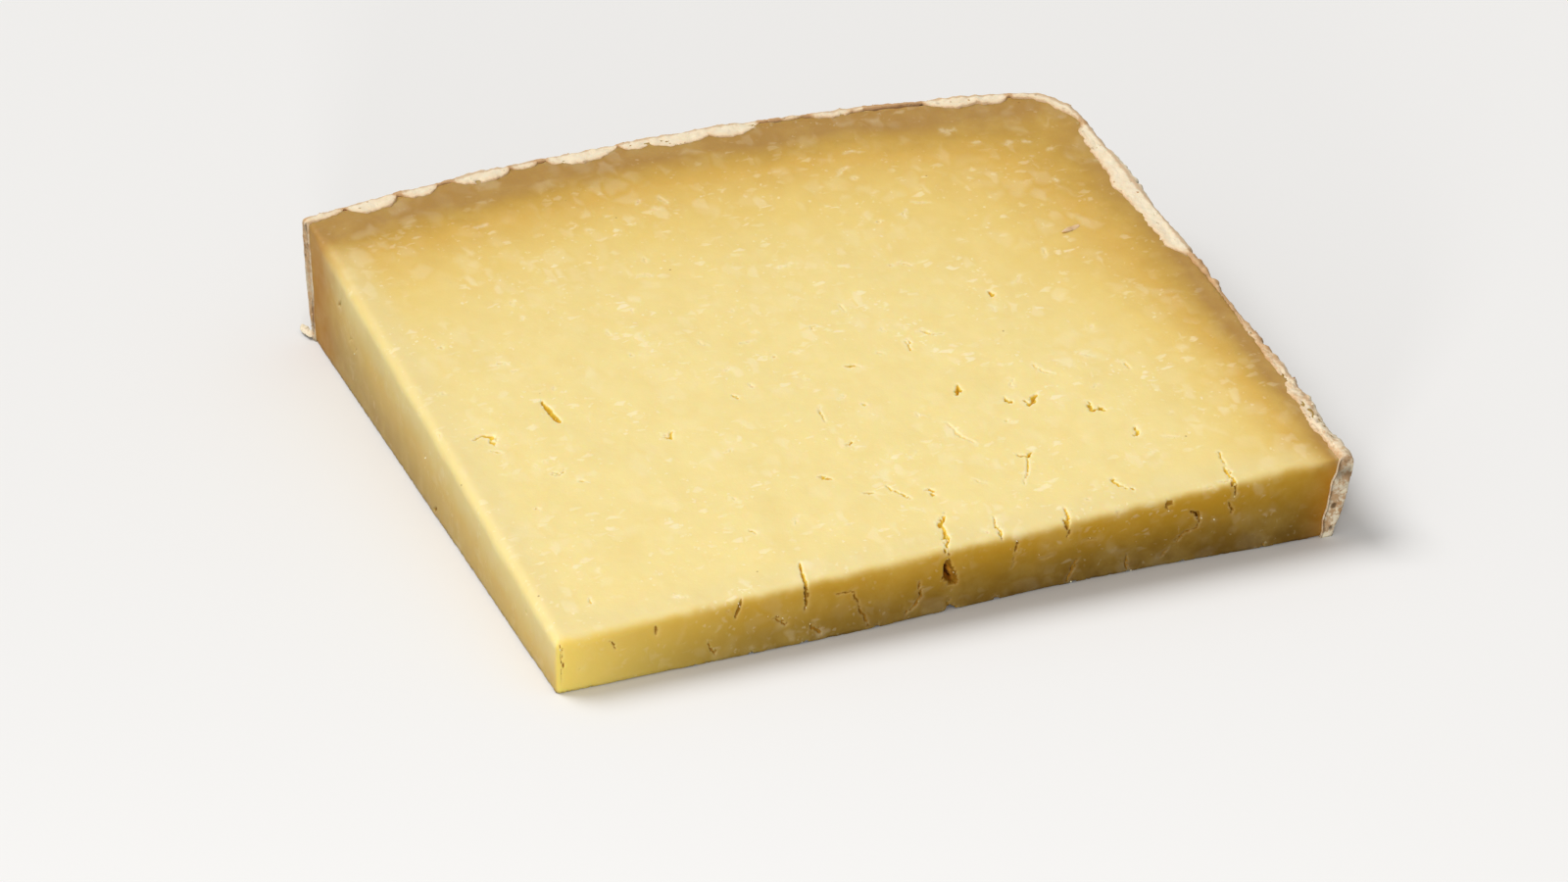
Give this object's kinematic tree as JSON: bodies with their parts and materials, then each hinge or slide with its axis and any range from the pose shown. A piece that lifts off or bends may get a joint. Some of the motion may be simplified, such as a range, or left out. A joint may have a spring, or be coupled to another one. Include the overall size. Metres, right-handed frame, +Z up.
{
  "type": "slice of pressed cheese",
  "caption": "Wedge-shaped slice of aged pressed cheese, lying flat, with pale yellow paste on its cut faces and a lumpy crust along its thick back and right sides.",
  "frame": {"origin": "middle of the foot of the slice's box, on the surface it lies on", "axes": "+X from the sharp corner along the front cut to the crusted end face, +Y from the front cut to the crusted wall, +Z up"},
  "size_m": [0.195, 0.1768, 0.0359],
  "materials": {
    "paste": "pale yellow pressed paste, waxy and softly matt",
    "crust": "dry lumpy rind, cream over brown, matt"
  },
  "bodies": {
    "root": {"cheese_slice": "paste"}
  },
  "joints": []
}
